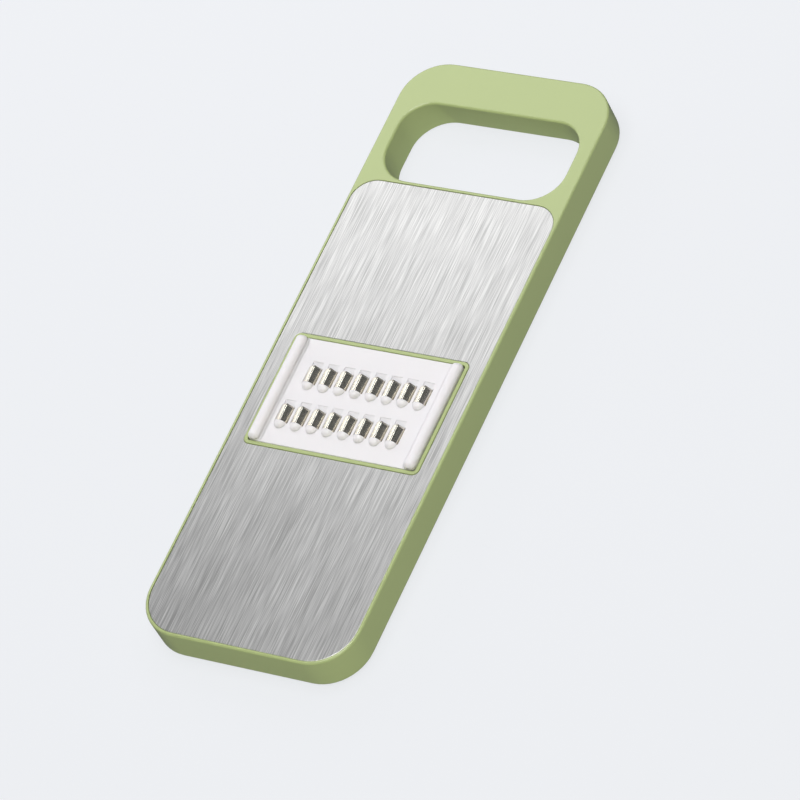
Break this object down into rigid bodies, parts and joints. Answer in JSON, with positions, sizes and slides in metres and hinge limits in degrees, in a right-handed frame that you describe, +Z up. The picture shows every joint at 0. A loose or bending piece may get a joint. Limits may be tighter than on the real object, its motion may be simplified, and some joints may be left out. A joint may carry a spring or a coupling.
{
  "type": "mandoline slicer",
  "caption": "Flat hand-held slicer board with a looped handle, a brushed steel deck and a lift-out insert with staggered rows of half-round shredding blades.",
  "frame": {"origin": "middle of the board's footprint on the surface that it lies on", "axes": "+X across the board, +Y along the board towards the handle, +Z up out of the steel deck"},
  "size_m": [0.1, 0.29, 0.0202],
  "materials": {
    "green_plastic": "satin moulded, light sage green",
    "brushed_deck": "brushed along the board's length",
    "bond_film": "thin bond film",
    "white_plastic": "satin moulded white",
    "blade_steel": "polished stainless steel",
    "backing_plastic": "moulded white"
  },
  "bodies": {
    "board": {"frame": "green_plastic", "deck_plate": "brushed_deck", "deck_adhesive": "bond_film"},
    "blade_insert": {"insert_carrier": "white_plastic", "blade_strip_handle_side": "blade_steel", "blade_strip_foot_side": "blade_steel", "blade_backing": "backing_plastic"}
  },
  "joints": [
    {"name": "insert_lift", "type": "slide", "parent": "board", "child": "blade_insert", "axis": [0, 0, 1], "range_m": [0, 0.02]}
  ]
}
